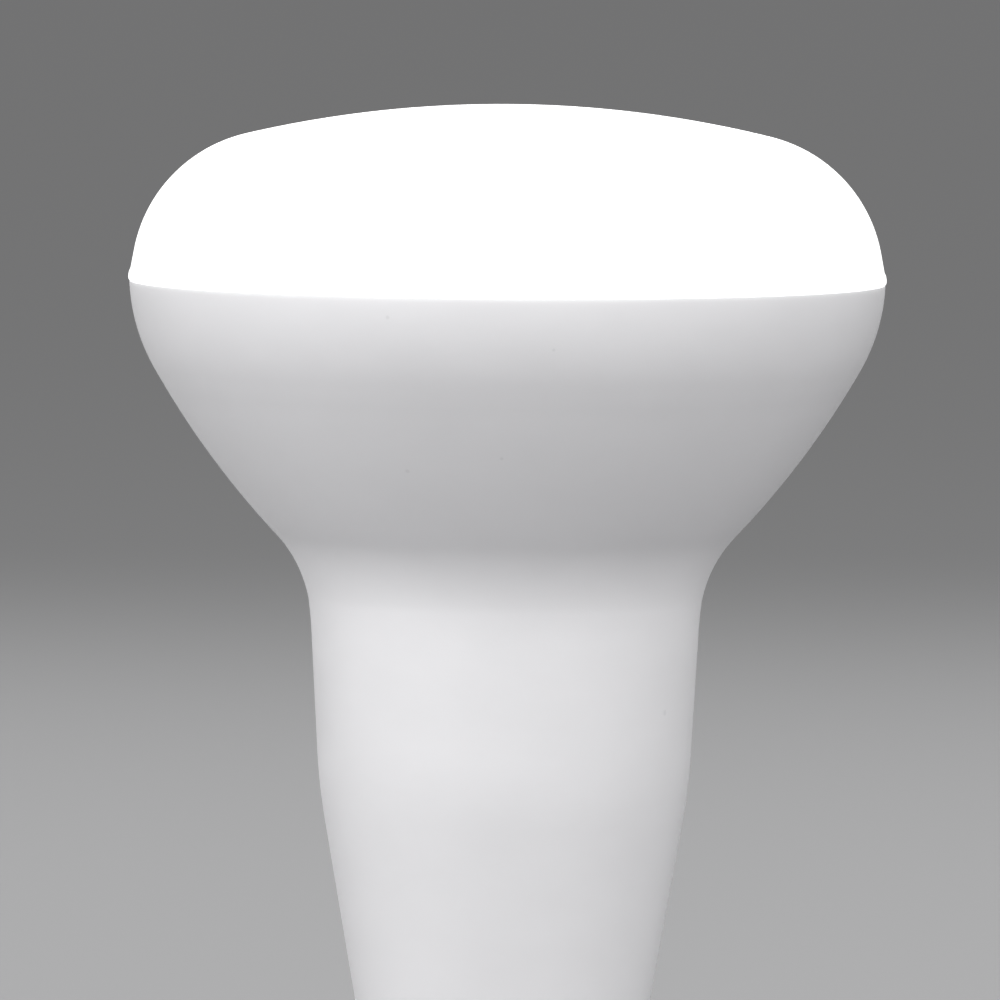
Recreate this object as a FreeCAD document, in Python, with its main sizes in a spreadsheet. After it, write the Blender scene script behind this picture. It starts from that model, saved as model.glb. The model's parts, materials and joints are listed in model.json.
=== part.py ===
"""Reflector lamp with a 14 mm Edison screw cap, in millimetres.

The origin is the middle of the centre contact's face. The lamp stands on its cap: Z runs up the axis,
through the neck and the bowl, and leaves through the crown of the opal dome.

Five pieces make up the outside: the dome, the one-piece housing with its spigot, the threaded screw shell
that is crimped to the spigot, the insulating button in the shell's nose, and the contact riveted in it.
The lamp is sealed and opaque, so the dome and the housing are solid inside.
"""
import FreeCAD
import Part
import Sketcher
import math
import os

SIZES = {
    # Overall
    "overall_length": 85.0,
    "dome_height": 11.7,        # crown above the seam
    "cap_height": 22.5,         # contact face to the foot of the housing
    "joint_clearance": 0.05,    # between pieces that fit in one another
    # Dome
    "rim_radius": 24.93,        # housing at the seam
    "bead_proud": 0.07,         # rim bead beyond the housing
    "bead_height": 0.8,
    "bead_bevel": 0.3,          # height of the bead's sloped shoulder
    "bead_step": 0.14,          # bead beyond the dome's side
    "side_height": 2.0,         # top of the dome's straight side above the seam
    "side_lean": 0.22,          # how far that side leans in
    "crown_radius": 74.5,
    "rim_wall": 0.83,           # housing's rim round the dome's seat
    "rebate_depth": 2.0,
    # Bowl and neck
    "shoulder_radius": 12.6,
    "widest_rise": 0.5,         # centre of the shoulder's arc above the seam
    "shoulder_drop": 5.73,      # lower end of that arc below the seam
    "flank_radius": 57.1,
    "throat_radius": 8.7,
    "neck_radius": 12.23,       # at the corner where the foot starts to taper
    "neck_length": 11.1,        # from that corner to the throat
    "neck_flare": 0.61,         # growth of the neck's radius over its length
    "foot_length": 17.5,        # from the cap to that corner
    "foot_taper": 3.04,         # loss of radius over the foot
    "foot_blend": 38.4,
    "foot_edge": 0.8,
    # Screw shell
    "thread_crest": 6.9,
    "thread_pitch": 2.822,
    "shell_wall": 0.3,
    "band_step": 0.05,          # plain band beyond the thread's crest
    "band_height": 4.5,
    "nose_height": 4.0,         # contact face to the shell's lip
    "nose_step": 0.05,          # nose inside the thread's root
    "nose_bevel": 1.0,
    "lip_width": 0.65,          # flat lip inside that bevel
    "lead_in": 1.7,             # height over which the first turn rises
    # Crimp between the shell and the housing
    "dent_size": 1.3,           # side of a dent's square mouth
    "dent_depth": 0.25,
    "crimp_drop": 1.4,          # centres of the dents below the band's edge
    "crimp_play": 0.15,         # groove beyond their bumps, above and below
    "spigot_length": 10.5,
    # Insulating button and contact
    "flange_height": 1.7,
    "button_side": 1.4,         # height of the button's side below the lip
    "button_draft": 0.25,       # how far that side leans in
    "button_radius": 3.0,
    "contact_radius": 2.6,
    "contact_height": 1.4,
    "contact_edge": 0.5,
    "shank_radius": 1.0,
}
DENT_COUNT = 6

# The thread's depth and its flat crest, as shares of its pitch
THREAD_DEPTH = 0.2835
THREAD_FLAT = 0.248
# A wall that turns by 45 degrees is offset along the axis by this share of its thickness
TURN_45 = math.tan(math.radians(22.5))
HALF = 0.5
FULL_TURN = 360
# Cutting profiles run this far past the face that they work on
PAST = 0.5
# What is added to the shell's wall starts this share of the wall inside it
BURIED = 0.5
# A punched dent narrows to this share of its mouth
DENT_TAPER = 0.45


class Size:
    """A value with the sheet expression that gives it, so a sketch starts right and stays bound."""

    def __init__(self, value, text):
        self.value = value
        self.text = text

    def __add__(self, other):
        return Size(self.value + other.value, f"{self.text} + {other.text}")

    def __sub__(self, other):
        return Size(self.value - other.value, f"{self.text} - ({other.text})")

    def __mul__(self, factor):
        return Size(self.value * factor, f"({self.text}) * {factor:.9f}")


def plain(value):
    """A fixed distance, for what follows no size."""
    return Size(value, f"{value:.9f}")


AXIS = plain(0.0)


class Sheet:
    """The driving dimensions: a spreadsheet with one alias for each, read as Size attributes."""

    def __init__(self, document, values):
        table = document.addObject("Spreadsheet::Sheet", "sizes")
        for row, (name, value) in enumerate(values.items(), start=1):
            table.set(f"A{row}", name)
            table.set(f"B{row}", str(value))
            table.setAlias(f"B{row}", name)
            setattr(self, name, Size(value, f"sizes.{name}"))
        document.recompute()
        # Places that several pieces share
        self.seam = self.overall_length - self.dome_height
        self.rebate_radius = self.rim_radius - self.rim_wall
        self.band_radius = self.thread_crest + self.band_step
        self.band_end = self.cap_height - self.band_height
        self.thread_root = self.thread_crest - self.thread_pitch * THREAD_DEPTH
        self.nose_radius = self.thread_root - self.nose_step
        self.nose_top = self.nose_height + self.nose_bevel
        self.lip_radius = self.nose_radius - self.nose_bevel - self.lip_width


class Outline:
    """A closed outline in a plane through a body's axis, drawn piece by piece, each joined to the last."""

    def __init__(self, body, name, r, z, side="XZ_Plane"):
        self.sketch = body.newObject("Sketcher::SketchObject", name)
        plane = [part for part in body.Origin.OriginFeatures if part.Role == side][0]
        self.sketch.AttachmentSupport = [(plane, "")]
        self.sketch.MapMode = "FlatFace"
        self.begin = (r, z)
        self.here = (r.value, z.value)
        self.first = None
        self.last = None
        self.bound = 0

    def rule(self, *terms):
        """A plain constraint; its index."""
        return self.sketch.addConstraint(Sketcher.Constraint(*terms))

    def bind(self, size, *terms):
        """A driving constraint that follows the sheet."""
        self.bound += 1
        name = f"size_{self.bound}"
        index = self.rule(*terms, size.value)
        self.sketch.renameConstraint(index, name)
        self.sketch.setExpression(f"Constraints.{name}", size.text)

    def place(self, piece, end, r=None, z=None):
        """Hold a point at a distance from the axis, at a height, or both."""
        for size, axis, kind in ((r, -2, "DistanceX"), (z, -1, "DistanceY")):
            if size is not None and size.value == 0:
                self.rule("PointOnObject", piece, end, axis)
            elif size is not None:
                self.bind(size, kind, -1, 1, piece, end)

    def add(self, geometry, entry, leave, tangent):
        """The next piece, joined at its entry end to the last one's leaving end."""
        piece = self.sketch.addGeometry(geometry, False)
        if self.last is None:
            self.first = (piece, entry)
            self.place(piece, entry, *self.begin)
        else:
            self.rule("Tangent" if tangent else "Coincident", *self.last, piece, entry)
        self.last = (piece, leave)
        return piece

    def line(self, end, tangent=False):
        """A straight line to a point given in numbers, which other rules hold."""
        start = FreeCAD.Vector(*self.here, 0)
        self.here = end
        return self.add(Part.LineSegment(start, FreeCAD.Vector(*end, 0)), 1, 2, tangent)

    def to(self, r, z, tangent=False):
        """A straight line to a corner that the sheet places."""
        piece = self.line((r.value, z.value), tangent)
        self.place(piece, 2, r, z)

    def arc(self, centre, radius, entry_angle, leave_angle, tangent=True):
        """An arc about a centre; its radius is a Size to bind, or a number where the outline settles it."""
        length = getattr(radius, "value", radius)
        circle = Part.Circle(FreeCAD.Vector(*centre, 0), FreeCAD.Vector(0, 0, 1), length)
        low, high = sorted((entry_angle, leave_angle))
        entry, leave = (1, 2) if leave_angle > entry_angle else (2, 1)
        piece = self.add(Part.ArcOfCircle(circle, low, high), entry, leave, tangent)
        if isinstance(radius, Size):
            self.bind(radius, "Radius", piece)
        self.here = (centre[0] + length * math.cos(leave_angle), centre[1] + length * math.sin(leave_angle))
        return piece

    def guide(self, r, z, *lines):
        """A construction point that the sheet places and that the given lines run through."""
        point = self.sketch.addGeometry(Part.Point(FreeCAD.Vector(r.value, z.value, 0)), True)
        self.place(point, 1, r, z)
        for line in lines:
            self.rule("PointOnObject", point, 1, line)

    def close(self):
        """A straight line back to the first point."""
        piece = self.line((self.begin[0].value, self.begin[1].value))
        self.rule("Coincident", piece, 2, *self.first)
        return self.sketch


def revolve(body, outline, kind="PartDesign::Revolution"):
    """Close an outline and turn it about the lamp's axis, to add or, as a groove, to cut."""
    sketch = outline.close()
    feature = body.newObject(kind, sketch.Name + "_turned")
    feature.Profile = sketch
    feature.ReferenceAxis = (sketch, ["V_Axis"])
    feature.Angle = FULL_TURN
    return feature


def new_body(document, label):
    """A body whose label names its node."""
    body = document.addObject("PartDesign::Body", label)
    body.Label = label
    return body


def leaning(distance, lean):
    """A step square to a wall that leans in by this angle from the vertical on its way down."""
    return distance * math.cos(lean), -distance * math.sin(lean)


def corner_arc(corner, lean_in, lean_out, radius):
    """Centre of the arc that rounds a corner between two walls, and its two ends."""
    length = radius * math.tan((lean_out - lean_in) / 2)
    start = (corner[0] + length * math.sin(lean_in), corner[1] + length * math.cos(lean_in))
    end = (corner[0] - length * math.sin(lean_out), corner[1] - length * math.cos(lean_out))
    out = leaning(radius, lean_in)
    return (start[0] - out[0], start[1] - out[1]), start, end


def make_dome(document, size):
    """Opal dome: a shallow crown, a round shoulder, a short leaning side, a rim bead and a seat."""
    body = new_body(document, "diffuser_dome")
    bead = size.rim_radius + size.bead_proud
    side_foot = bead - size.bead_step
    side_top = side_foot - size.side_lean
    side_end = size.seam + size.side_height
    seat = size.rebate_radius - size.joint_clearance
    seat_end = size.seam - size.rebate_depth

    # The shoulder is tangent to the side at its top, and to the crown, which is centred on the axis
    lean = math.atan2(size.side_lean.value, size.side_height.value - size.bead_height.value)
    crown = size.crown_radius.value
    crown_centre = (0.0, size.overall_length.value - crown)
    rise = side_end.value - crown_centre[1]
    reach = side_top.value * math.cos(lean) + rise * math.sin(lean)
    shoulder = (side_top.value ** 2 + rise ** 2 - crown ** 2) / (2 * (reach - crown))
    centre = (side_top.value - shoulder * math.cos(lean), side_end.value - shoulder * math.sin(lean))
    junction = math.atan2(centre[1] - crown_centre[1], centre[0])

    pen = Outline(body, "dome_outline", AXIS, seat_end)
    pen.to(seat, seat_end)
    pen.to(seat, size.seam)
    pen.to(bead, size.seam)
    pen.to(bead, size.seam + size.bead_height - size.bead_bevel)
    pen.to(side_foot, size.seam + size.bead_height)
    pen.to(side_top, side_end)
    pen.arc(centre, shoulder, lean, junction)
    arc = pen.arc(crown_centre, size.crown_radius, junction, math.pi / 2)
    pen.rule("PointOnObject", arc, 3, -2)
    pen.place(arc, 2, AXIS, size.overall_length)
    revolve(body, pen)
    return body


def draw_bowl(pen, size):
    """Shoulder, flank, throat, neck and foot: from the rim down to the face that the cap meets."""
    foot_corner = size.cap_height + size.foot_length
    foot_radius = size.neck_radius - size.foot_taper
    neck_top = size.neck_radius + size.neck_flare
    shoulder, flank, throat = size.shoulder_radius, size.flank_radius, size.throat_radius

    lean_rim = math.asin(size.widest_rise.value / shoulder.value)
    lean_shoulder = math.asin((size.shoulder_drop + size.widest_rise).value / shoulder.value)
    lean_neck = math.atan2(size.neck_flare.value, size.neck_length.value)
    lean_foot = math.atan2(size.foot_taper.value, size.foot_length.value)
    widest = size.seam + size.widest_rise
    shoulder_centre = (size.rim_radius.value - shoulder.value * math.cos(lean_rim), widest.value)
    step = leaning(flank.value - shoulder.value, lean_shoulder)
    flank_centre = (shoulder_centre[0] - step[0], shoulder_centre[1] - step[1])

    # The throat's centre is one throat radius outside the neck, and both radii from the flank's centre
    slope = math.tan(lean_neck)
    reach = flank.value + throat.value
    offset = size.neck_radius.value + throat.value / math.cos(lean_neck) - flank_centre[0]
    offset += slope * (flank_centre[1] - foot_corner.value)
    drop = offset * slope + math.sqrt((1 + slope ** 2) * reach ** 2 - offset ** 2)
    drop /= 1 + slope ** 2
    throat_centre = (flank_centre[0] + offset - slope * drop, flank_centre[1] - drop)
    lean_flank = math.atan2(drop, throat_centre[0] - flank_centre[0])
    blend_centre, blend_start, _ = corner_arc(
        (size.neck_radius.value, foot_corner.value), lean_neck, lean_foot, size.foot_blend.value)

    arc = pen.arc(shoulder_centre, shoulder, -lean_rim, -lean_shoulder, tangent=False)
    pen.place(arc, 3, z=widest)
    pen.place(arc, 1, z=size.seam - size.shoulder_drop)
    pen.arc(flank_centre, flank, -lean_shoulder, -lean_flank)
    pen.arc(throat_centre, throat, math.pi - lean_flank, math.pi - lean_neck)
    neck = pen.line(blend_start, tangent=True)
    pen.arc(blend_centre, size.foot_blend, -lean_neck, -lean_foot)
    edge = size.cap_height + size.foot_edge
    foot_slope = size.foot_taper.value / size.foot_length.value
    foot = pen.line((foot_radius.value + size.foot_edge.value * foot_slope, edge.value), tangent=True)
    pen.place(foot, 2, z=edge)
    pen.to(foot_radius - size.foot_edge, size.cap_height)
    pen.guide(neck_top, foot_corner + size.neck_length, neck)
    pen.guide(size.neck_radius, foot_corner, neck, foot)
    pen.guide(foot_radius, size.cap_height, foot)


def make_housing(document, size):
    """Bowl, throat, neck and foot in one moulding, with a rebate for the dome and a spigot for the cap."""
    body = new_body(document, "housing")
    rebate_floor = size.seam - size.rebate_depth - size.joint_clearance
    inset = size.shell_wall + size.joint_clearance
    spigot = size.band_radius - inset
    core = size.nose_radius - inset
    groove = spigot - size.dent_depth
    crimp = size.cap_height - size.crimp_drop
    half = size.dent_size * HALF + size.shell_wall + size.crimp_play
    step_top = size.band_end + inset * TURN_45
    spigot_end = size.cap_height - size.spigot_length

    pen = Outline(body, "housing_outline", AXIS, rebate_floor)
    pen.to(size.rebate_radius, rebate_floor)
    pen.to(size.rebate_radius, size.seam)
    pen.to(size.rim_radius, size.seam)
    draw_bowl(pen, size)
    pen.to(spigot, size.cap_height)
    pen.to(spigot, crimp + half)
    pen.to(groove, crimp + half)
    pen.to(groove, crimp - half)
    pen.to(spigot, crimp - half)
    pen.to(spigot, step_top)
    pen.to(core, step_top - (spigot - core))
    pen.to(core, spigot_end)
    pen.to(AXIS, spigot_end)
    revolve(body, pen)
    return body


def make_screw_shell(document, size):
    """Screw shell: turned outside, threaded, its nose bevelled with a lead-in, then bored and crimped."""
    body = new_body(document, "screw_shell")
    past = plain(PAST)
    root_start = size.band_end - (size.band_radius - size.thread_root)

    # The ridge has a flat crest and 45 degree flanks, and its foot is buried in the wall.
    # It starts below the nose, which trims it, and its last turn runs out under the plain band.
    ridge_foot = size.thread_root - size.shell_wall * BURIED
    tip = size.thread_pitch * (THREAD_FLAT * HALF)
    half = tip + size.thread_crest - ridge_foot
    start = size.nose_top - half
    blank_end = start - half - past

    pen = Outline(body, "blank", AXIS, size.cap_height)
    pen.to(size.band_radius, size.cap_height)
    pen.to(size.band_radius, size.band_end)
    pen.to(size.thread_root, root_start)
    pen.to(size.thread_root, blank_end)
    pen.to(AXIS, blank_end)
    revolve(body, pen)
    document.recompute()

    # The ridge starts a quarter turn from the seams of the turned faces
    pen = Outline(body, "ridge", ridge_foot, start - half, side="YZ_Plane")
    pen.to(size.thread_crest, start - tip)
    pen.to(size.thread_crest, start + tip)
    pen.to(ridge_foot, start + half)
    sketch = pen.close()
    helix = body.newObject("PartDesign::AdditiveHelix", "thread")
    helix.Profile = sketch
    helix.ReferenceAxis = (sketch, ["V_Axis"])
    helix.Mode = "pitch-height-angle"
    helix.setExpression("Pitch", size.thread_pitch.text)
    helix.setExpression("Height", (size.band_end + half - start).text)
    document.recompute()

    beyond = size.thread_crest + past
    lead_top = size.nose_top + size.lead_in
    pen = Outline(body, "nose", AXIS, size.nose_height)
    pen.to(size.nose_radius - size.nose_bevel, size.nose_height)
    pen.to(size.nose_radius, size.nose_top)
    pen.to(size.thread_crest, lead_top)
    pen.to(beyond, lead_top)
    pen.to(beyond, blank_end - past)
    pen.to(AXIS, blank_end - past)
    revolve(body, pen, "PartDesign::Groove")
    document.recompute()

    bore = size.nose_radius - size.shell_wall
    band_bore = size.band_radius - size.shell_wall
    step_top = size.band_end + size.shell_wall * TURN_45
    lip_top = size.nose_height + size.shell_wall
    bevel_top = size.nose_top + size.shell_wall * TURN_45
    pen = Outline(body, "bore", AXIS, size.cap_height + past)
    pen.to(band_bore, size.cap_height + past)
    pen.to(band_bore, step_top)
    pen.to(bore, step_top - (band_bore - bore))
    pen.to(bore, bevel_top)
    pen.to(bore - (bevel_top - lip_top), lip_top)
    pen.to(size.lip_radius, lip_top)
    pen.to(size.lip_radius, size.nose_height - past)
    pen.to(AXIS, size.nose_height - past)
    revolve(body, pen, "PartDesign::Groove")
    document.recompute()

    # Each dent pushes the band's wall into the spigot's groove: first the bumps inside, then the dents.
    # A dent's wedge widens evenly, so it stands as far beyond the band as it reaches into it.
    mouth = size.dent_size * HALF
    floor = mouth * DENT_TAPER
    depth, wall = size.dent_depth, size.shell_wall
    punch(body, "Additive", size, band_bore - depth, floor + wall, band_bore + wall * BURIED, mouth + wall)
    punch(body, "Subtractive", size, size.band_radius - depth, floor,
          size.band_radius + depth, mouth + mouth - floor)
    return body


def punch(body, kind, size, inner, inner_half, outer, outer_half):
    """A ring of blunt square wedges that narrow towards the axis, added to the wall or cut from it.

    Each runs from the radius inner to the radius outer, and is twice inner_half and outer_half wide there.
    """
    wedge = body.newObject(f"PartDesign::{kind}Wedge", f"{kind}_punch")
    crimp = size.cap_height - size.crimp_drop
    sides = {
        "Ymin": inner,
        "X2min": AXIS - outer_half,
        "X2max": outer_half,
        "Z2min": crimp - outer_half,
        "Z2max": crimp + outer_half,
        "Ymax": outer,
        "Xmin": AXIS - inner_half,
        "Xmax": inner_half,
        "Zmin": crimp - inner_half,
        "Zmax": crimp + inner_half,
    }
    for side, place in sides.items():
        setattr(wedge, side, place.value)
        wedge.setExpression(side, place.text)
    ring = body.newObject("PartDesign::PolarPattern", f"{kind}_ring")
    ring.Originals = [wedge]
    ring.Axis = ([part for part in body.Origin.OriginFeatures if part.Role == "Z_Axis"][0], [""])
    ring.Angle = FULL_TURN
    ring.Occurrences = DENT_COUNT
    body.Tip = ring
    body.Document.recompute()


def make_insulator(document, size):
    """Insulating button: a flange behind the shell's lip, a shouldered nose and a hole for the rivet."""
    body = new_body(document, "cap_insulator")
    hole = size.shank_radius + size.joint_clearance
    flange = size.nose_radius - size.nose_bevel - size.shell_wall * TURN_45 - size.joint_clearance
    neck = size.lip_radius - size.joint_clearance
    flange_foot = size.nose_height + size.shell_wall
    pen = Outline(body, "button_outline", hole, size.contact_height)
    pen.to(size.button_radius, size.contact_height)
    pen.to(neck - size.button_draft, size.nose_height - size.button_side)
    pen.to(neck, size.nose_height)
    pen.to(neck, flange_foot)
    pen.to(flange, flange_foot)
    pen.to(flange, flange_foot + size.flange_height)
    pen.to(hole, flange_foot + size.flange_height)
    revolve(body, pen)
    return body


def make_contact(document, size):
    """Centre contact: a rivet with a flat, bevelled head whose face is the lamp's lowest point."""
    body = new_body(document, "centre_contact")
    shank_end = size.nose_height + size.shell_wall + size.flange_height
    pen = Outline(body, "contact_outline", AXIS, AXIS)
    pen.to(size.contact_radius - size.contact_edge, AXIS)
    pen.to(size.contact_radius, size.contact_edge)
    pen.to(size.contact_radius, size.contact_height)
    pen.to(size.shank_radius, size.contact_height)
    pen.to(size.shank_radius, shank_end)
    pen.to(AXIS, shank_end)
    revolve(body, pen)
    return body


def check(document, pieces):
    """Stop if a feature failed or a piece is empty or broken."""
    for thing in document.Objects:
        if "Invalid" in thing.State or "Error" in thing.State:
            raise RuntimeError(f"{thing.Name} failed: {thing.State}")
    for piece in pieces:
        if piece.Shape.isNull() or not piece.Shape.isValid() or len(piece.Shape.Solids) != 1:
            raise RuntimeError(f"{piece.Label} is not one sound solid")


def main():
    document = FreeCAD.newDocument("reflector_lamp")
    size = Sheet(document, SIZES)
    pieces = [
        make_dome(document, size),
        make_housing(document, size),
        make_screw_shell(document, size),
        make_insulator(document, size),
        make_contact(document, size),
    ]
    document.recompute()
    check(document, pieces)
    os.makedirs("parts", exist_ok=True)
    for piece in pieces:
        piece.Shape.exportStep(f"parts/{piece.Label}.step")
        print(f"{piece.Label}: {piece.Shape.Volume:.1f} mm3")


main()
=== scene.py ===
# %% [markdown]
# # A lit reflector bulb
# The real lamp is a small R50 reflector bulb with a 14 mm Edison screw cap. It is 50 mm wide and 85 mm
# long: an opal dome that glows, a white plastic bowl and neck in one moulding, and below them the nickel
# cap, its black button and the centre contact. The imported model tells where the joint, the crown and the
# cap's top edge lie. This notebook models each piece anew with smooth, round faces, and gives it its
# finish. Lengths are written in millimetres and turned into metres by MM.

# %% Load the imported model
import json
import math

import bpy
from mathutils import Matrix, Vector

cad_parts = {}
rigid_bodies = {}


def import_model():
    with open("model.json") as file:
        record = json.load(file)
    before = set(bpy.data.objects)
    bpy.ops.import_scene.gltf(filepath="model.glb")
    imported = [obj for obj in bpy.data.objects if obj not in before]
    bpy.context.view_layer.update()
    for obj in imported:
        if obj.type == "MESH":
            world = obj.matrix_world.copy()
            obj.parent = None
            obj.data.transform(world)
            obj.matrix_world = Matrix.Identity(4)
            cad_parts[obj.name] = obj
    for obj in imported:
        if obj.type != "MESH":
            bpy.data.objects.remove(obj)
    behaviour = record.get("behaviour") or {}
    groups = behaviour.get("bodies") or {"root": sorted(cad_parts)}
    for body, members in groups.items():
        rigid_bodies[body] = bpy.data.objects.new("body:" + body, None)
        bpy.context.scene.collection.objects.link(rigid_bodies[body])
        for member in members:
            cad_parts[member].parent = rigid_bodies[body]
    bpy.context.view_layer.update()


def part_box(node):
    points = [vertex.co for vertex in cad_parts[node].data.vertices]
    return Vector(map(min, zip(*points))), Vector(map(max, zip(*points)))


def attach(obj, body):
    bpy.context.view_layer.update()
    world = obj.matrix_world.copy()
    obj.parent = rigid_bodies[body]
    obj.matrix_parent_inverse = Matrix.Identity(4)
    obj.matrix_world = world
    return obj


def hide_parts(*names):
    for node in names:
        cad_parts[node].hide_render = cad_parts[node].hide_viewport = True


MM = 0.001
for leftover in list(bpy.data.objects):
    bpy.data.objects.remove(leftover)
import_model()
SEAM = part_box("housing")[1].z / MM
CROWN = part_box("diffuser_dome")[1].z / MM
CAP_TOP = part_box("screw_shell")[1].z / MM
print(f"seam at {SEAM:.2f} mm, crown at {CROWN:.2f} mm, cap up to {CAP_TOP:.2f} mm")

# %% [markdown]
# ## The camera
# The photograph looks almost level at the lamp, through a long lens and from a little above the dome, so
# the joint under the dome bends down by only a millimetre in the middle. The camera could be framed by
# eye, but that bend ties the camera's height to its distance, so both are written as real sizes. The
# small roll is the lamp's own lean in the picture.

# %% Camera
VIEW_DISTANCE = 880.0
VIEW_RISE = 38.5        # camera above the joint
VIEW_PITCH = math.radians(3.444)
VIEW_ROLL = math.radians(0.404)
VIEW_SHIFT = -0.39      # the lamp stands this much right of the picture's middle
LENS = 480.2
SENSOR = 36.0
NEAR_CLIP = 10.0
FAR_CLIP = 50000.0

camera_data = bpy.data.cameras.new("photo_view")
camera_data.lens = LENS
camera_data.sensor_width = SENSOR
camera_data.clip_start = NEAR_CLIP * MM
camera_data.clip_end = FAR_CLIP * MM
camera = bpy.data.objects.new("photo_view", camera_data)
bpy.context.scene.collection.objects.link(camera)
bpy.context.scene.camera = camera
view_depth = math.sqrt(VIEW_DISTANCE ** 2 - VIEW_RISE ** 2)
stand = Vector((VIEW_SHIFT, -view_depth, SEAM + VIEW_RISE)) * MM
tilt = Matrix.Rotation(math.pi / 2 - VIEW_PITCH, 4, "X")
camera.matrix_world = Matrix.Translation(stand) @ tilt @ Matrix.Rotation(VIEW_ROLL, 4, "Z")
print(f"the camera stands {VIEW_DISTANCE:.0f} mm away and {VIEW_RISE:.1f} mm above the joint")

# %% [markdown]
# ## A pen for turned pieces
# Every piece of this lamp is round, so each can be drawn as half a section and turned about the axis.
# A primitive cylinder would need its outline pushed about afterwards. Here a single vertex is the pen
# point instead: extruding it draws a straight line, and spinning it about a centre draws a true arc,
# just as a compass would. A full spin about the lamp's axis then makes the surface.

# %% The pen
TURN_STEPS = 160
SAME_PLACE = 1e-6       # metres; vertices closer than this are one


class Pen:
    """Draws a half section in the XZ plane from one vertex, in millimetres."""

    def __init__(self, name, r, z):
        bpy.ops.object.select_all(action="DESELECT")
        bpy.ops.mesh.primitive_plane_add(size=MM)
        self.piece = bpy.context.object
        self.piece.name = name
        self.piece.data.name = name
        bpy.ops.object.mode_set(mode="EDIT")
        bpy.ops.mesh.select_mode(type="VERT")
        bpy.ops.mesh.select_all(action="SELECT")
        bpy.ops.mesh.merge(type="CENTER")
        bpy.ops.transform.translate(value=(r * MM, 0, z * MM))
        self.place = Vector((r, z))

    def to(self, r, z, cuts=0):
        """A straight line, cut into equal lengths."""
        step = (Vector((r, z)) - self.place) / (cuts + 1) * MM
        for _ in range(cuts + 1):
            bpy.ops.mesh.extrude_region_move(TRANSFORM_OT_translate={"value": (step.x, 0, step.y)})
        self.place = Vector((r, z))

    def arc(self, centre, turn, steps):
        """An arc about a centre; a positive turn is anticlockwise in the section."""
        middle = (centre[0] * MM, 0, centre[1] * MM)
        bpy.ops.mesh.spin(steps=steps, angle=turn, center=middle, axis=(0, 1, 0))
        spoke = self.place - Vector(centre)
        spoke.rotate(Matrix.Rotation(turn, 2))
        self.place = Vector(centre) + spoke

    def turn(self, steps=TURN_STEPS):
        """Spin the section about the lamp's axis, weld the joint and the poles, and face it outwards."""
        bpy.ops.mesh.select_all(action="SELECT")
        bpy.ops.mesh.spin(steps=steps, angle=math.tau, center=(0, 0, 0), axis=(0, 0, 1))
        bpy.ops.mesh.select_all(action="SELECT")
        bpy.ops.mesh.remove_doubles(threshold=SAME_PLACE)
        bpy.ops.mesh.normals_make_consistent(inside=False)
        bpy.ops.object.mode_set(mode="OBJECT")
        return self.piece


print(f"a turned piece has {TURN_STEPS} steps round the axis, unless it is given another number")

# %% [markdown]
# ## Rounded edges and finished pieces
# No moulded or pressed edge is quite sharp, and its round catches the light. An arc could be drawn into
# the section at every corner, but a bevel after turning is shorter to write, and the corner's ring of
# edges can be found by its radius and height. A finished piece is shaded smooth, except where its faces
# meet at a sharp angle, and then it is handed over to the frame.

# %% Rounding and handing over
RING_REACH = 0.01       # an edge whose ends are this near to a ring belongs to it


def round_rings(piece, rings, width, segments=4):
    """Bevel the sharp rings at these radii and heights."""
    bpy.context.view_layer.objects.active = piece
    bpy.ops.object.mode_set(mode="EDIT")
    bpy.ops.mesh.select_all(action="DESELECT")
    bpy.ops.mesh.select_mode(type="EDGE")
    bpy.ops.object.mode_set(mode="OBJECT")
    for edge in piece.data.edges:
        ends = [piece.data.vertices[i].co / MM for i in edge.vertices]
        for r, z in rings:
            on_ring = all(
                abs(math.hypot(end.x, end.y) - r) < RING_REACH and abs(end.z - z) < RING_REACH
                for end in ends)
            edge.select = edge.select or on_ring
    bpy.ops.object.mode_set(mode="EDIT")
    bpy.ops.mesh.bevel(offset=width * MM, segments=segments, affect="EDGES")
    bpy.ops.object.mode_set(mode="OBJECT")


def finish_piece(piece, node, crease=35):
    """Smooth the piece below this angle, let it ride on the lamp and stand for its node."""
    bpy.ops.object.select_all(action="DESELECT")
    piece.select_set(True)
    bpy.context.view_layer.objects.active = piece
    bpy.ops.object.shade_smooth_by_angle(angle=math.radians(crease))
    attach(piece, "root")
    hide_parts(node)
    print(f"{piece.name}: {len(piece.data.vertices)} vertices, {len(piece.data.polygons)} faces")


# %% [markdown]
# ## The bowl and neck
# On the real lamp this is one white moulding. Its wall is a chain of arcs, each tangent to the next: a
# round shoulder under the rim, a long flat flank, and a tight throat that turns into the neck. It could
# be traced point by point, but then the light would show every error. Two arcs meet smoothly when their
# centres and the meeting point lie on one line, so each centre is worked out from the last one. Only
# the throat's foot isn't quite smooth: the wall breaks by a few degrees there, and a slow arc leads on
# into the neck, which shows as a faint edge across the front.

# %% Bowl and neck: shoulder, flank and throat
RIM_RADIUS = 24.93
WIDEST_RISE = 0.5       # the shoulder's arc would be widest this far above the joint
SHOULDER_RADIUS = 12.6
SHOULDER_DROP = 5.73    # the shoulder passes into the flank this far below the joint
FLANK_RADIUS = 57.1
THROAT_RADIUS = 8.7
NECK_RADIUS = 12.23     # at the corner, where neck and foot would meet without the bend between them
NECK_LENGTH = 11.1
NECK_FLARE = 0.61       # the neck widens this much upwards over its length
FOOT_LENGTH = 17.5      # from the cap's top edge up to that corner

lean_rim = math.asin(WIDEST_RISE / SHOULDER_RADIUS)
lean_shoulder = math.asin((SHOULDER_DROP + WIDEST_RISE) / SHOULDER_RADIUS)
lean_neck = math.atan2(NECK_FLARE, NECK_LENGTH)
corner = Vector((NECK_RADIUS, CAP_TOP + FOOT_LENGTH))


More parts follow.
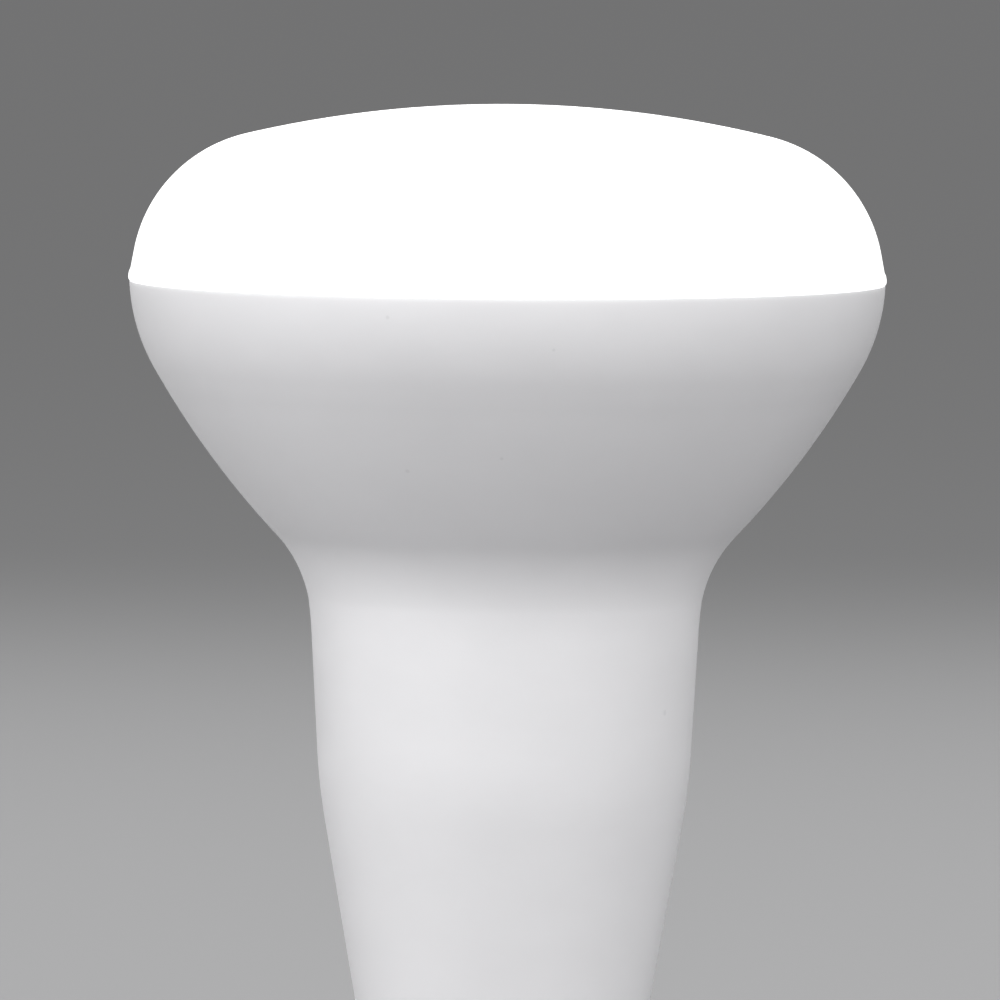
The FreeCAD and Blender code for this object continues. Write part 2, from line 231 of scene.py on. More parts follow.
def outward(lean):
    """The way that a wall faces when it leans in by this angle on its way down."""
    return Vector((math.cos(lean), -math.sin(lean)))


shoulder_x = RIM_RADIUS - SHOULDER_RADIUS * math.cos(lean_rim)
shoulder_centre = Vector((shoulder_x, SEAM + WIDEST_RISE))
flank_centre = shoulder_centre - outward(lean_shoulder) * (FLANK_RADIUS - SHOULDER_RADIUS)
# The throat's centre is one throat radius outside the neck's wall, and both radii from the flank's centre
reach = FLANK_RADIUS + THROAT_RADIUS
along = Vector((math.sin(lean_neck), math.cos(lean_neck)))
foot_point = corner + outward(lean_neck) * THROAT_RADIUS - flank_centre
drop = foot_point.dot(along)
climb = -drop - math.sqrt(drop ** 2 - foot_point.dot(foot_point) + reach ** 2)
throat_centre = flank_centre + foot_point + along * climb
lean_flank = math.atan2(flank_centre.y - throat_centre.y, throat_centre.x - flank_centre.x)
print(f"the flank leans {math.degrees(lean_shoulder):.1f} to {math.degrees(lean_flank):.1f} degrees")

# %% Bowl and neck: the neck's slow arc, and the foot
EDGE_LEAN = math.radians(11.5)      # where the throat's arc stops
NECK_ARC_LEAN = math.radians(8.0)   # where the neck's slow arc starts
FOOT_TAPER = 3.04                   # the foot narrows this much downwards over its length
FOOT_BLEND = 38.4                   # radius of the bend between neck and foot
FOOT_ROUND = 0.8                    # radius of the foot's lower edge

# The slow arc starts at the throat's edge and ends on the neck's wall. How far that edge stands out from
# the wall gives the arc's radius.
throat_edge = throat_centre - outward(EDGE_LEAN) * THROAT_RADIUS
neck_arc_gap = (throat_edge - corner).dot(outward(lean_neck))
neck_arc_radius = neck_arc_gap / (1 - math.cos(NECK_ARC_LEAN - lean_neck))
neck_arc_centre = throat_edge + outward(NECK_ARC_LEAN) * neck_arc_radius

lean_foot = math.atan2(FOOT_TAPER, FOOT_LENGTH)
blend_length = FOOT_BLEND * math.tan((lean_foot - lean_neck) / 2)
blend_centre = corner - outward(lean_neck) * FOOT_BLEND + along * blend_length
blend_start = blend_centre + outward(lean_neck) * FOOT_BLEND
round_x = NECK_RADIUS - FOOT_TAPER - FOOT_ROUND * (1 - math.sin(lean_foot)) / math.cos(lean_foot)
round_centre = Vector((round_x, CAP_TOP + FOOT_ROUND))
round_start = round_centre + outward(lean_foot) * FOOT_ROUND
print(f"the neck's slow arc has a radius of {neck_arc_radius:.1f} mm")

# %% Bowl and neck: the section
REBATE_RADIUS = 24.1
REBATE_FLOOR = 71.25
SPIGOT_RADIUS = 6.6
SPIGOT_CORE = 5.7
SPIGOT_END = 12.0
SPIGOT_STEP = 18.15
GROOVE_RADIUS = 6.35
GROOVE_TOP = 22.2
GROOVE_FOOT = 20.0
SHOULDER_STEPS = 20
FLANK_STEPS = 30
THROAT_STEPS = 16
NECK_ARC_STEPS = 8
NECK_CUTS = 5
BLEND_STEPS = 10
FOOT_CUTS = 6
FOOT_ROUND_STEPS = 8
RIM_ROUND = 0.04

pen = Pen("housing_moulding", 0, REBATE_FLOOR)
pen.to(REBATE_RADIUS, REBATE_FLOOR)
pen.to(REBATE_RADIUS, SEAM)
pen.to(RIM_RADIUS, SEAM)
pen.arc(shoulder_centre, lean_rim - lean_shoulder, SHOULDER_STEPS)
pen.arc(flank_centre, lean_shoulder - lean_flank, FLANK_STEPS)
pen.arc(throat_centre, lean_flank - EDGE_LEAN, THROAT_STEPS)
pen.arc(neck_arc_centre, NECK_ARC_LEAN - lean_neck, NECK_ARC_STEPS)
pen.to(*blend_start, cuts=NECK_CUTS)
pen.arc(blend_centre, lean_neck - lean_foot, BLEND_STEPS)
pen.to(*round_start, cuts=FOOT_CUTS)
pen.arc(round_centre, lean_foot - math.pi / 2, FOOT_ROUND_STEPS)
for spot in (
    (SPIGOT_RADIUS, CAP_TOP),
    (SPIGOT_RADIUS, GROOVE_TOP),
    (GROOVE_RADIUS, GROOVE_TOP),
    (GROOVE_RADIUS, GROOVE_FOOT),
    (SPIGOT_RADIUS, GROOVE_FOOT),
    (SPIGOT_RADIUS, SPIGOT_STEP),
    (SPIGOT_CORE, SPIGOT_STEP - SPIGOT_RADIUS + SPIGOT_CORE),
    (SPIGOT_CORE, SPIGOT_END),
    (0, SPIGOT_END),
):
    pen.to(*spot)
housing = pen.turn()
round_rings(housing, [(RIM_RADIUS, SEAM)], RIM_ROUND, segments=3)
finish_piece(housing, "housing")

# %% [markdown]
# ## The dome
# The opal dome is pressed into the rim. Its crown is a very shallow cap, its shoulder a much tighter
# round, and a bead runs along its foot where it sits on the bowl. A flattened sphere would be quick, but
# its sides would be too round. The shoulder has to be tangent both to the leaning side and to the crown,
# and one formula gives the only radius that does this.

# %% Dome
BEAD_RADIUS = 25.0
BEAD_HEIGHT = 0.8
BEAD_BEVEL = 0.3
BEAD_ROUND = 0.16
SIDE_FOOT = 24.86
SIDE_TOP = 24.64
SIDE_HEIGHT = 2.0
CROWN_RADIUS = 74.5
SEAT_RADIUS = 24.05
SEAT_FLOOR = 71.3
SIDE_CUTS = 3
DOME_ROUND_STEPS = 30
CROWN_STEPS = 24

side_lean = math.atan2(SIDE_FOOT - SIDE_TOP, SIDE_HEIGHT - BEAD_HEIGHT)
side_end = SEAM + SIDE_HEIGHT
crown_centre = Vector((0, CROWN - CROWN_RADIUS))
rise = side_end - crown_centre.y
dome_reach = SIDE_TOP * math.cos(side_lean) + rise * math.sin(side_lean)
dome_round = (SIDE_TOP ** 2 + rise ** 2 - CROWN_RADIUS ** 2) / (2 * (dome_reach - CROWN_RADIUS))
dome_centre = Vector((SIDE_TOP, side_end)) - outward(-side_lean) * dome_round
junction = math.atan2(dome_centre.y - crown_centre.y, dome_centre.x)
print(f"the dome's shoulder has a radius of {dome_round:.2f} mm")

bead_top = (BEAD_RADIUS, SEAM + BEAD_HEIGHT - BEAD_BEVEL)
pen = Pen("dome_opal", 0, SEAT_FLOOR)
pen.to(SEAT_RADIUS, SEAT_FLOOR)
pen.to(SEAT_RADIUS, SEAM)
pen.to(BEAD_RADIUS, SEAM)
pen.to(*bead_top)
pen.to(SIDE_FOOT, SEAM + BEAD_HEIGHT)
pen.to(SIDE_TOP, side_end, cuts=SIDE_CUTS)
pen.arc(dome_centre, junction - side_lean, DOME_ROUND_STEPS)
pen.arc(crown_centre, math.pi / 2 - junction, CROWN_STEPS)
dome = pen.turn()
round_rings(dome, [(BEAD_RADIUS, SEAM), bead_top], BEAD_ROUND)
finish_piece(dome, "diffuser_dome")

# %% [markdown]
# ## The screw shell
# The cap's shell is thin nickel-plated sheet. Its thread isn't cut but rolled, so crest and root are the
# same round, and the wave fades out below the plain band and at the curled nose. Punched dents hold it
# on the plastic. A helical sweep would end bluntly at both ends, so a plain turned blank is
# rolled instead: every vertex of the blank is moved to the radius that the rollers leave there.

# %% Shell: the blank
BAND_RADIUS = 6.95
BAND_FOOT = 18.0
CREST = 6.9
ROOT = 6.1
PITCH = 2.822
ROLL_ROUND = 0.822      # radius of the crest's and the root's arc
NOSE_TOP = 5.05
NOSE_RADIUS = 6.05
SHELL_STEPS = 150
ROW = 0.08              # height of a row of faces

pen = Pen("shell_rolled", BAND_RADIUS, CAP_TOP)
pen.to(BAND_RADIUS, NOSE_TOP, cuts=round((CAP_TOP - NOSE_TOP) / ROW))
shell = pen.turn(SHELL_STEPS)
print(f"the blank has {len(shell.data.vertices)} vertices")

# %% Shell: what the rollers leave
LEAD_IN = 1.7           # height over which the first turn rises out of the nose
LEAD_MELT = 0.12        # difference in radius at which the first turn and that rise start to melt together
BAND_MELT = 0.1         # the same for the last turn and the band


def soft_lower(a, b, melt):
    """The lower of two radii, with a round between them."""
    mix = max(0.0, min(1.0, 0.5 + (b - a) / (2 * melt)))
    return b + (a - b) * mix - melt * mix * (1 - mix)


def rolled_radius(z, turn):
    """Radius of the shell's skin at a height and a turn from 0 to 1."""
    crest_centre = CREST - ROLL_ROUND
    root_centre = ROOT + ROLL_ROUND
    from_crest = abs((z - BAND_FOOT - turn * PITCH + PITCH / 2) % PITCH - PITCH / 2)
    if from_crest < PITCH / 4:
        wave = crest_centre + math.sqrt(ROLL_ROUND ** 2 - from_crest ** 2)
    else:
        wave = root_centre - math.sqrt(ROLL_ROUND ** 2 - (PITCH / 2 - from_crest) ** 2)
    lead = NOSE_RADIUS + (z - NOSE_TOP) * (CREST - NOSE_RADIUS) / LEAD_IN
    wave = soft_lower(wave, lead, LEAD_MELT)
    band = min(BAND_RADIUS, BAND_RADIUS - (BAND_FOOT - z))
    return -soft_lower(-wave, -band, BAND_MELT)


print(f"the thread's skin lies {ROOT} to {CREST} mm from the axis")

# %% Shell: roll the thread and punch the dents
DENTS = 6
DENT_DROP = 1.4
DENT_RADIUS = 0.85
DENT_DEPTH = 0.25
DENT_FULLNESS = 0.6     # below one, a dent is fuller than a plain cosine wave

for vertex in shell.data.vertices:
    angle = math.atan2(vertex.co.y, vertex.co.x)
    height = vertex.co.z / MM
    radius = rolled_radius(height, angle / math.tau)
    beside = (angle * DENTS / math.tau + 0.5) % 1 - 0.5
    away = math.hypot(beside * math.tau / DENTS * BAND_RADIUS, height - CAP_TOP + DENT_DROP)
    if away < DENT_RADIUS:
        press = 0.5 + 0.5 * math.cos(math.pi * away / DENT_RADIUS)
        radius -= DENT_DEPTH * press ** DENT_FULLNESS
    vertex.co.x = radius * math.cos(angle) * MM
    vertex.co.y = radius * math.sin(angle) * MM
print(f"{DENTS} dents, {DENT_DEPTH} mm deep")

# %% [markdown]
# ### The curled nose and the sheet
# At its lower end the real sheet curls in to a flat lip that holds the button. The lowest ring is
# extruded and drawn in row by row, as on a spinning lathe. Until then the shell is a single skin, and
# only now does it get its thickness, so that the inside follows the thread as it does in rolled sheet.

# %% Shell: curl the nose
NOSE_FOOT = 4.0
LIP_RADIUS = 4.4
NOSE_ROWS = 8

bpy.context.view_layer.objects.active = shell
bpy.ops.object.mode_set(mode="EDIT")
bpy.ops.mesh.select_mode(type="VERT")
bpy.ops.mesh.select_all(action="DESELECT")
bpy.ops.object.mode_set(mode="OBJECT")
low = min(vertex.co.z for vertex in shell.data.vertices)
for vertex in shell.data.vertices:
    vertex.select = vertex.co.z < low + SAME_PLACE
bpy.ops.object.mode_set(mode="EDIT")
nose_round = NOSE_TOP - NOSE_FOOT
flat_radius = NOSE_RADIUS - nose_round
bends = [step * math.pi / 2 / NOSE_ROWS for step in range(1, NOSE_ROWS + 1)]
lip_places = [
    (flat_radius + nose_round * math.cos(bend), NOSE_TOP - nose_round * math.sin(bend)) for bend in bends
]
lip_places += [((flat_radius + LIP_RADIUS) / 2, NOSE_FOOT), (LIP_RADIUS, NOSE_FOOT)]
last = (NOSE_RADIUS, NOSE_TOP)
for r, z in lip_places:
    bpy.ops.mesh.extrude_region_move(TRANSFORM_OT_translate={"value": (0, 0, (z - last[1]) * MM)})
    share = r / last[0]
    bpy.ops.transform.resize(value=(share, share, 1), center_override=(0, 0, z * MM))
    last = (r, z)
bpy.ops.mesh.select_all(action="SELECT")
bpy.ops.mesh.normals_make_consistent(inside=False)
bpy.ops.object.mode_set(mode="OBJECT")
print(f"the nose curls in to a radius of {LIP_RADIUS} mm")

# %% Shell: give the sheet its thickness
WALL = 0.3

sheet = shell.modifiers.new("sheet", "SOLIDIFY")
sheet.thickness = WALL * MM
sheet.offset = -1
bpy.ops.object.modifier_apply(modifier="sheet")
finish_piece(shell, "screw_shell", crease=50)

# %% [markdown]
# ## The button and the contact
# Below the shell sits a black glass-like button, moulded round the hole for the contact, and the contact
# itself is a small brass rivet. Both are turned, and only their edges make them look real: the button's
# are melted round, the rivet's are pressed. Beveling the sharp rings after turning gives both.

# %% Button
HOLE_RADIUS = 1.05
FLANGE_RADIUS = 4.87
FLANGE_TOP = 6.0
LIP_TOP = 4.3
BUTTON_NECK = 4.35
BUTTON_SHOULDER = (4.1, 2.6)
BUTTON_FACE = (3.0, 1.4)
SHOULDER_MELT = 0.6
FACE_MELT = 0.35
SMALL_TURN_STEPS = 96

pen = Pen("button_glazed", HOLE_RADIUS, BUTTON_FACE[1])
for spot in (
    BUTTON_FACE,
    BUTTON_SHOULDER,
    (BUTTON_NECK, NOSE_FOOT),
    (BUTTON_NECK, LIP_TOP),
    (FLANGE_RADIUS, LIP_TOP),
    (FLANGE_RADIUS, FLANGE_TOP),
    (HOLE_RADIUS, FLANGE_TOP),
    (HOLE_RADIUS, BUTTON_FACE[1]),
):
    pen.to(*spot)
button = pen.turn(SMALL_TURN_STEPS)
round_rings(button, [BUTTON_SHOULDER], SHOULDER_MELT, segments=6)
round_rings(button, [BUTTON_FACE], FACE_MELT, segments=5)
finish_piece(button, "cap_insulator")

# %% Contact
CONTACT_RADIUS = 2.6
CONTACT_HEIGHT = 1.4
SHANK_RADIUS = 1.0
FACE_RADIUS = 60.0      # the rivet's face is very slightly domed
FACE_STEPS = 8
FACE_EDGE = 0.5
BACK_EDGE = 0.15

pen = Pen("contact_rivet", 0, 0)
pen.arc((0, FACE_RADIUS), math.asin(CONTACT_RADIUS / FACE_RADIUS), FACE_STEPS)
face_end = tuple(pen.place)
pen.to(CONTACT_RADIUS, CONTACT_HEIGHT)
pen.to(SHANK_RADIUS, CONTACT_HEIGHT)
pen.to(SHANK_RADIUS, FLANGE_TOP)
pen.to(0, FLANGE_TOP)
contact = pen.turn(SMALL_TURN_STEPS)
round_rings(contact, [face_end], FACE_EDGE, segments=6)
round_rings(contact, [(CONTACT_RADIUS, CONTACT_HEIGHT)], BACK_EDGE, segments=3)
finish_piece(contact, "centre_contact")

# %% [markdown]
# ## Finishes
# A picture could be wrapped round each piece, but it would have seams and a grain of its own. These
# materials are built from nodes that read the lamp's own coordinates instead, so the grain stays on the
# piece when it is seen from elsewhere. Each starts from a Principled shader, and noise at the size of the
# real surface changes its colour, its roughness and its bump.

# %% Node helpers


class Finish:
    """A material with a Principled shader and short calls that add nodes to it."""

    def __init__(self, name, **sockets):
        self.material = bpy.data.materials.new(name)
        self.material.use_nodes = True
        self.tree = self.material.node_tree
        self.nodes = self.tree.nodes
        self.shader = self.nodes["Principled BSDF"]
        for socket, value in sockets.items():
            self.shader.inputs[socket.replace("_", " ")].default_value = value
        self.here = self.nodes.new("ShaderNodeTexCoord").outputs["Object"]

    def node(self, kind, settings=None, **inputs):
        """A new node, with its inputs given by name, or by number after an underscore."""
        made = self.nodes.new(f"ShaderNode{kind}")
        for name, value in (settings or {}).items():
            setattr(made, name, value)
        for name, value in inputs.items():
            socket = made.inputs[int(name[1:]) if name[1:].isdigit() else name.replace("_", " ")]
            if isinstance(value, bpy.types.NodeSocket):
                self.tree.links.new(value, socket)
            else:
                socket.default_value = value
        return made

    def noise(self, size, detail=2.0, stretch=(1, 1, 1)):
        """Noise whose features are about this many millimetres wide, stretched along an axis."""
        scaled = self.node("Mapping", Vector=self.here, Scale=stretch).outputs["Vector"]
        return self.node("TexNoise", Vector=scaled, Scale=1 / (size * MM), Detail=detail).outputs["Fac"]

    def span(self, value, low, high, start=0.3, end=0.7):
        """Low where the value is at start, high where it is at end, and in step with it between.

        Most noise stays between 0.3 and 0.7.
        """
        made = self.node("MapRange", Value=value, From_Min=start, From_Max=end, To_Min=low, To_Max=high)
        return made.outputs["Result"]

    def blend(self, share, first, second):
        """A colour between two colours, which are the Mix node's inputs 6 and 7."""
        made = self.node("Mix", {"data_type": "RGBA"}, _0=share, _6=first, _7=second)
        return made.outputs[2]

    def calculate(self, operation, first, second=0.0):
        """One step of arithmetic."""
        return self.node("Math", {"operation": operation}, _0=first, _1=second).outputs["Value"]

    def weigh(self, first, second, share):
        """Two values added up, the first with this share of the whole and the second with the rest."""
        part = self.calculate("MULTIPLY", first, share)
        rest = self.calculate("MULTIPLY", second, 1 - share)
        return self.calculate("ADD", part, rest)

    def dim(self, colour, share):
        """A colour with only this share of its brightness."""
        return self.node("VectorMath", {"operation": "SCALE"}, _0=colour, Scale=share).outputs["Vector"]

    def from_axis(self):
        """Distance from the lamp's axis."""
        flat = self.node("Mapping", Vector=self.here, Scale=(1, 1, 0)).outputs["Vector"]
        return self.node("VectorMath", {"operation": "LENGTH"}, _0=flat).outputs["Value"]

    def feed(self, socket, value):
        """Link a value to one of the shader's sockets."""
        self.tree.links.new(value, self.shader.inputs[socket])

    def bump(self, height, depth):
        """Bump from a value from 0 to 1 that stands for this many millimetres."""
        made = self.node("Bump", Height=height, Distance=depth * MM, Strength=1.0)
        self.feed("Normal", made.outputs["Normal"])

    def dress(self, piece):
        """Give the piece this finish alone."""
        piece.data.materials.clear()
        piece.data.materials.append(self.material)
        print(f"{piece.name} is finished with {self.material.name}, of {len(self.nodes)} nodes")


# %% [markdown]
# ### White moulded plastic
# The bowl and neck are satin white plastic with a matt, fine-grained skin. Up close it is never one
# white: the melt leaves faint clouds that are longer round the lamp than along it, and the mould leaves
# fine rings. They are worth a percent or two of brightness, no more, so a plain white would do from
# afar, but from near by it would look like paint.

# %% White plastic
CLOUD_SIZE = 5.0
MOULD_RING_SIZE = 0.5
GRAIN_SIZE = 0.09
GRAIN_DEPTH = 0.005
DIM_WHITE = (0.8235, 0.818, 0.8327, 1)
PALE_WHITE = (0.8376, 0.832, 0.847, 1)

plastic = Finish("white_plastic_satin", Emission_Color=(1, 1, 1, 1))
clouds = plastic.noise(CLOUD_SIZE, detail=3.0, stretch=(1, 1, 1.8))
rings = plastic.noise(MOULD_RING_SIZE, stretch=(0.01, 0.01, 1))
grain = plastic.noise(GRAIN_SIZE)
tone = plastic.span(plastic.weigh(clouds, rings, share=0.92), low=0, high=1)
white = plastic.blend(tone, DIM_WHITE, PALE_WHITE)
plastic.feed("Roughness", plastic.span(clouds, low=0.40, high=0.50))
plastic.bump(plastic.weigh(grain, rings, share=0.85), GRAIN_DEPTH)
print(f"clouds of {CLOUD_SIZE} mm and grain of {GRAIN_SIZE} mm")

# %% [markdown]
# ### Specks and a line of painted shade
# A few darker specks are baked into the white, and round the bowl runs one faint line of painted shade,
# where the wall's curve changes. Small pieces could be laid on the wall for them, but a speck is only a
# ball of darker plastic in it, and the shade line a thin darker band painted into the colour. So the
# distance from the speck's middle, or from the line's height, is all that the colour needs to know.

# %% Specks in the melt, and one faint line of painted shade
SPECKS = {
    # name: place and radius
    "neck": ((10.5, -6.8, 45.4), 0.24),
    "rim": ((-7.7, -23.6, 72.0), 0.16),
    "shoulder": ((3.0, -24.2, 70.0), 0.14),
    "flank_left": ((-6.4, -18.5, 61.8), 0.20),
    "flank": ((-0.3, -20.2, 62.8), 0.15),
}
SPECK_TONE = 0.92
# the line of painted shade: its height, its half width and how dark it is
SHADE_LINE_HEIGHT = 66.0
SHADE_LINE_WIDTH = 0.9
SHADE_LINE_TONE = 0.985

for place, size in SPECKS.values():
    middle = Vector(place) * MM
    apart = plastic.node("VectorMath", {"operation": "DISTANCE"}, _0=plastic.here, _1=middle)
    away = apart.outputs["Value"]
    speck = plastic.span(away, low=SPECK_TONE, high=1.0, start=size * MM / 2, end=size * MM)
    white = plastic.dim(white, speck)
height_here = plastic.node("SeparateXYZ", Vector=plastic.here).outputs["Z"]
# Painted shade: the colour is darkened in a thin band at this height, where the wall's curve changes
from_shade_line = plastic.calculate("ABSOLUTE", plastic.calculate("SUBTRACT", height_here, SHADE_LINE_HEIGHT * MM))
shade_line = plastic.span(from_shade_line, low=SHADE_LINE_TONE, high=1.0, start=0.0, end=SHADE_LINE_WIDTH * MM)
plastic.feed("Base Color", plastic.dim(white, shade_line))
print(f"{len(SPECKS)} specks, and a ring at {SHADE_LINE_HEIGHT} mm")

# %% [markdown]
# ### Glow through the rim
# At the rim the wall is under a millimetre thick and the lit dome's foot is right behind it, so a little
# of the glow comes through: most of it at the very edge, and the rest fading slowly down the wall. Light
# could be scattered through a thin wall, but this bowl is solid inside, so its skin glows instead, with
# two strengths that fall off below the joint.

# %% Glow through the rim
GLOWS = {
    # name: strength, and the millimetres below the joint at which it has fallen to about a third
    "edge": (0.09, 0.16),
    "wall": (0.04, 1.3),
}

above_joint = plastic.calculate("SUBTRACT", height_here, SEAM * MM)
shine = 0.0
for strongest, depth in GLOWS.values():
    fall = plastic.calculate("EXPONENT", plastic.calculate("DIVIDE", above_joint, depth * MM))
    shine = plastic.calculate("ADD", plastic.calculate("MULTIPLY", fall, strongest), shine)
plastic.feed("Emission Strength", shine)
plastic.dress(housing)

# %% [markdown]
# ### Lit opal plastic
# The dome is milky plastic with the light source close behind it. It could hold real lamps and scatter
# their light, but that is slow and noisy. An even glow on the skin looks the same, because the opal
# mixes the light so well that no hot spot shows.

# %% Opal plastic
OPAL_GLOW = 0.9
OPAL_CLOUD_SIZE = 9.0
COOL_GLOW = (0.98, 0.985, 1.0, 1)
WARM_GLOW = (1.0, 1.0, 0.99, 1)
OPAL_GRAIN_SIZE = 0.12
OPAL_GRAIN_DEPTH = 0.004

opal = Finish(
    "opal_plastic_lit", Roughness=0.35, Base_Color=(0.9, 0.9, 0.9, 1), Emission_Strength=OPAL_GLOW)
warmth = opal.span(opal.noise(OPAL_CLOUD_SIZE, detail=1.0), low=0, high=1)
opal.feed("Emission Color", opal.blend(warmth, COOL_GLOW, WARM_GLOW))
opal.bump(opal.noise(OPAL_GRAIN_SIZE), OPAL_GRAIN_DEPTH)
opal.dress(dome)

# %% [markdown]
# ### Nickel plate
# The shell is bright but thin plate over rolled sheet: the rollers leave scratches that run round it,
# the crests are rubbed brighter, and the roots stay duller. Wear could be painted on by hand, but the
# radius of a point already tells crest from root, so it drives both colour and roughness.

# %% Nickel
SCRATCH_SIZE = 0.05
SCRATCH_DEPTH = 0.002
BLOTCH_SIZE = 1.6
DULL_NICKEL = (0.52, 0.5, 0.46, 1)
BRIGHT_NICKEL = (0.78, 0.765, 0.73, 1)

nickel = Finish("nickel_rolled", Metallic=1.0)
rubbed = nickel.span(nickel.from_axis(), low=0, high=1, start=ROOT * MM, end=CREST * MM)
scratches = nickel.noise(SCRATCH_SIZE, detail=3.0, stretch=(0.06, 0.06, 1))
blotches = nickel.noise(BLOTCH_SIZE, detail=3.0)
worn = nickel.weigh(rubbed, blotches, share=0.7)
nickel.feed("Base Color", nickel.blend(worn, DULL_NICKEL, BRIGHT_NICKEL))
polish = nickel.span(worn, low=0.42, high=0.24, start=0, end=1)
nickel.feed("Roughness", nickel.calculate("ADD", polish, nickel.span(scratches, low=-0.05, high=0.05)))
nickel.bump(scratches, SCRATCH_DEPTH)
nickel.dress(shell)

# %% [markdown]
# ### Glazed black and pressed brass
# The button is black and glassy with a few dull spots, and the contact is brass that has gone slightly
# dull, with the turning marks of its press tool as fine rings round the middle. One even colour and
# gloss would make both look like painted plastic, so noise changes them from place to place.

# %% Glazed black
SPOT_SIZE = 0.5
RIPPLE_SIZE = 0.35
RIPPLE_DEPTH = 0.01
DEEP_BLACK = (0.012, 0.011, 0.012, 1)
WORN_BLACK = (0.028, 0.026, 0.026, 1)

glaze = Finish("black_glazed", Coat_Weight=0.5, Coat_Roughness=0.06)
spots = glaze.noise(SPOT_SIZE, detail=3.0)
glaze.feed("Base Color", glaze.blend(glaze.span(spots, low=0, high=1), DEEP_BLACK, WORN_BLACK))
glaze.feed("Roughness", glaze.span(spots, low=0.1, high=0.28))
glaze.bump(glaze.noise(RIPPLE_SIZE), RIPPLE_DEPTH)
glaze.dress(button)

# %% Pressed brass
TARNISH_SIZE = 0.9
TOOL_MARK_SIZE = 0.08
TOOL_MARK_DEPTH = 0.003
DULL_BRASS = (0.56, 0.42, 0.22, 1)
BRIGHT_BRASS = (0.76, 0.61, 0.36, 1)

brass = Finish("brass_pressed", Metallic=1.0)
tarnish = brass.noise(TARNISH_SIZE, detail=4.0)
brass.feed("Base Color", brass.blend(brass.span(tarnish, low=0, high=1), DULL_BRASS, BRIGHT_BRASS))
brass.feed("Roughness", brass.span(tarnish, low=0.26, high=0.42))
marks = brass.node(
    "TexNoise", {"noise_dimensions": "1D"}, W=brass.from_axis(), Scale=1 / (TOOL_MARK_SIZE * MM))
brass.bump(marks.outputs["Fac"], TOOL_MARK_DEPTH)
brass.dress(contact)

# %% [markdown]
# ## The floor
# The lamp stands on a plain pale floor that runs back until it fills the picture. Light falls off with
# distance, so a floor lit only by the lamps would go black behind. Raising the lamps would burn the
# white plastic out, so the backdrop's grey is a glow that only the camera, mirrors and glass can see,
# and the floor under it still takes the lamp's shadow. The floor's underside is clear, so the cap can
# be looked at from below.

# %% Backdrop grey
BACKDROP = 0.16
BACKDROP_TINT = (1, 1, 1.01, 1)


def seen_rays(tree):
    """One for the rays that look at the backdrop, and nought for those that light the lamp."""
    path = tree.nodes.new("ShaderNodeLightPath").outputs
    seen = path["Is Camera Ray"]
    for kind in ("Is Glossy Ray", "Is Transmission Ray"):
        either = tree.nodes.new("ShaderNodeMath")
        either.operation = "MAXIMUM"
        tree.links.new(seen, either.inputs[0])
        tree.links.new(path[kind], either.inputs[1])
        seen = either.outputs["Value"]
    return seen


print(f"the backdrop glows at {BACKDROP} of white")

# %% Floor
FLOOR_SIZE = 30000.0
SHADED_FLOOR = (0.28, 0.28, 0.284, 1)

bpy.ops.object.select_all(action="DESELECT")
bpy.ops.mesh.primitive_plane_add(size=FLOOR_SIZE * MM)
floor = bpy.context.object
floor.name = "floor"
ground = Finish(
    "pale_floor", Base_Color=SHADED_FLOOR, Roughness=0.9, Specular_IOR_Level=0.0,
    Emission_Color=BACKDROP_TINT)
ground.feed("Emission Strength", ground.calculate("MULTIPLY", seen_rays(ground.tree), BACKDROP))
below = ground.node("NewGeometry").outputs["Backfacing"]
clear = ground.node("BsdfTransparent").outputs["BSDF"]
one_way = ground.node("MixShader", _0=below, _1=ground.shader.outputs["BSDF"], _2=clear)
ground.tree.links.new(one_way.outputs["Shader"], ground.nodes["Material Output"].inputs["Surface"])
ground.dress(floor)

# %% [markdown]
# ## The light
# The photograph's light is broad and even, and it comes from in front: strongest from the left, a little
# from above, and nothing from below. That is why the bowl darkens towards the throat, where its wall
# looks down, and why the neck is bright again. One big light would be simpler, but its strength could
# suit only one side. Large soft panels in a ring are each set for their own side, and the one behind
# keeps the lamp's back white. The front panels' strengths were found by rendering each alone and adding
# the pictures up until the plastic had its tones.

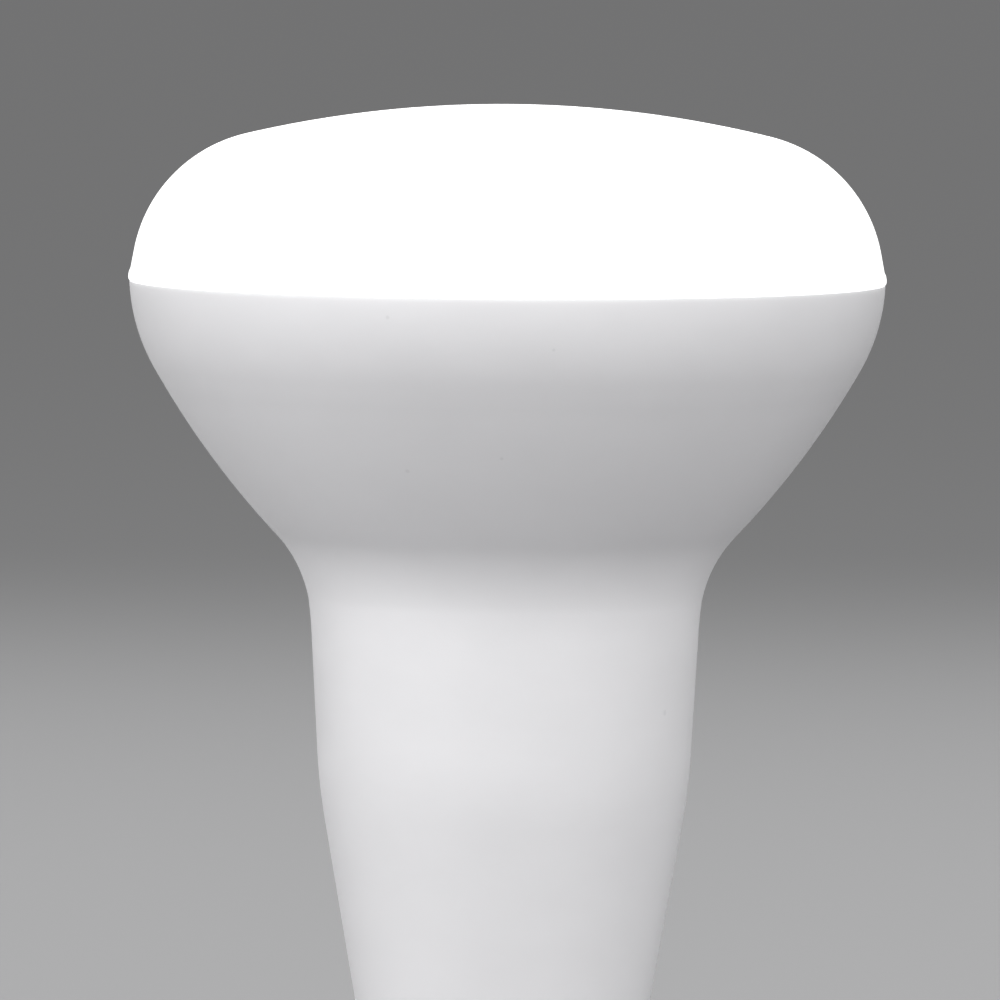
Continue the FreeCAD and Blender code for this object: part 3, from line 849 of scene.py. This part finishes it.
# %% Soft panels
PANELS = {
    # name: degrees round from the camera, degrees above the horizon, width, height, watts
    "left_side": (-90, 20, 450, 450, 1.35),
    "left_key": (-40, 32, 450, 800, 1.75),
    "front": (10, 20, 450, 450, 1.50),
    "right_key": (45, 45, 450, 450, 1.00),
    "right_side": (95, 25, 450, 450, 0.81),
    "back": (180, 35, 900, 450, 2.10),
}
PANEL_DISTANCE = 900.0
PANEL_SPREAD = math.radians(120)
LIT_HEIGHT = 45.0       # the point of the axis that the panels face


def soft_panel(name, around, above, wide, tall, watts):
    """A rectangular light that faces the lamp and that the camera can't see."""
    panel_data = bpy.data.lights.new(name, "AREA")
    panel_data.shape = "RECTANGLE"
    panel_data.size = wide * MM
    panel_data.size_y = tall * MM
    panel_data.energy = watts
    panel_data.spread = PANEL_SPREAD
    panel = bpy.data.objects.new(name, panel_data)
    turn, lift = math.radians(around), math.radians(above)
    away = Vector((math.sin(turn) * math.cos(lift), -math.cos(turn) * math.cos(lift), math.sin(lift)))
    panel.location = (Vector((0, 0, LIT_HEIGHT)) + away * PANEL_DISTANCE) * MM
    panel.rotation_euler = away.to_track_quat("Z", "Y").to_euler()
    panel.visible_camera = False
    bpy.context.scene.collection.objects.link(panel)


for panel_name, panel_values in PANELS.items():
    soft_panel(panel_name, *panel_values)
print(f"{len(PANELS)} panels, {sum(values[-1] for values in PANELS.values()):.1f} W")

# %% [markdown]
# ## The world
# Beyond the floor's far edge lies the world. A picture of a studio could surround the lamp, but it would
# show in the metal. A plain grey is enough. Rays that look at it see the floor's grey, so that the edge
# vanishes, and to the lamp it gives a weak, even light that opens the shadows.

# %% World
AMBIENT = 0.03

world = bpy.data.worlds.new("studio")
world.use_nodes = True
background = world.node_tree.nodes["Background"]
background.inputs["Color"].default_value = BACKDROP_TINT
strength = world.node_tree.nodes.new("ShaderNodeMapRange")
strength.inputs["To Min"].default_value = AMBIENT
# The far floor throws a share of this light back on top of its own glow, so the grey behind it has both
strength.inputs["To Max"].default_value = BACKDROP + AMBIENT * SHADED_FLOOR[1]
world.node_tree.links.new(seen_rays(world.node_tree), strength.inputs["Value"])
world.node_tree.links.new(strength.outputs["Result"], background.inputs["Strength"])
bpy.context.scene.world = world
bpy.context.scene.view_settings.view_transform = "Standard"
print(f"an even light of {AMBIENT} from all round")
